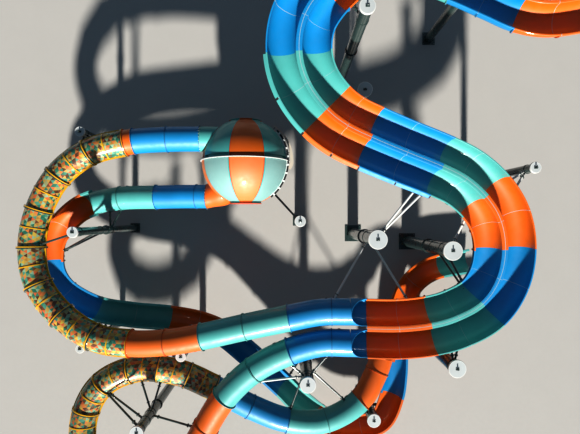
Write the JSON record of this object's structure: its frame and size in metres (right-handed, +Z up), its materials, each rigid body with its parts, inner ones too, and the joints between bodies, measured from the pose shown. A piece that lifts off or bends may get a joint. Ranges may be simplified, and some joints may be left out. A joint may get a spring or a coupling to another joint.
{
  "type": "water slide",
  "caption": "Twin open flume on steel masts that parts into two enclosed tubes, one through a ball chamber to a return flume, each ending in a low run-out.",
  "frame": {"origin": "underside centre of the centre mast base plate, on the ground", "axes": "+Z up; +X towards the right and +Y towards the top of the picture, which looks down"},
  "size_m": [30.3732, 32.4054, 13],
  "materials": {
    "orange": "glossy gel-coated glass-fibre plastic, orange",
    "blue": "glossy gel-coated glass-fibre plastic, mid blue",
    "teal": "glossy gel-coated glass-fibre plastic, teal",
    "mosaic": "gel-coated glass-fibre plastic with a mosaic of triangles in several colours",
    "white": "white gel-coated flange",
    "steel": "dark green-grey painted steel, pale grey caps"
  },
  "bodies": {
    "root": {"twin_orange_1": "orange", "twin_blue_1": "blue", "twin_teal_1": "teal", "twin_orange_2": "orange", "twin_blue_2": "blue", "twin_teal_2": "teal", "twin_orange_3": "orange", "twin_blue_3": "blue", "twin_teal_3": "teal", "twin_orange_4": "orange", "twin_blue_4": "blue", "twin_teal_4": "teal", "twin_orange_5": "orange", "twin_mouth": "blue", "a_blue_1": "blue", "a_teal": "teal", "a_orange": "orange", "a_mosaic_1": "mosaic", "a_mosaic_2": "mosaic", "a_blue_2": "blue", "b_blue_1": "blue", "b_teal_1": "teal", "b_orange_1": "orange", "b_mosaic_1": "mosaic", "b_mosaic_2": "mosaic", "b_mosaic_3": "mosaic", "b_mosaic_4": "mosaic", "b_blue_2": "blue", "b_teal_2": "teal", "b_run_out": "orange", "return_blue_tube": "blue", "return_teal_tube": "teal", "return_orange_1": "orange", "return_blue_1": "blue", "return_teal_1": "teal", "return_orange_2": "orange", "return_blue_2": "blue", "return_teal_2": "teal", "return_orange_3": "orange", "return_blue_3": "blue", "return_run_out": "orange", "ball_gores_orange": "orange", "ball_gores_teal": "teal", "ball_seam": "white", "ball_flare": "orange", "mast_centre": "steel", "mast_twin_east": "steel", "mast_twin_south": "steel", "mast_twin_corner": "steel", "mast_twin_inner": "steel", "mast_head_arc": "steel", "mast_head": "steel", "mast_lane_b": "steel", "mast_lane_b_low": "steel", "mast_lane_a": "steel", "mast_loop_a_south": "steel", "mast_loop_a": "steel", "mast_loop_a_north": "steel", "mast_loop_b": "steel", "ball_stand": "steel"}
  },
  "joints": []
}
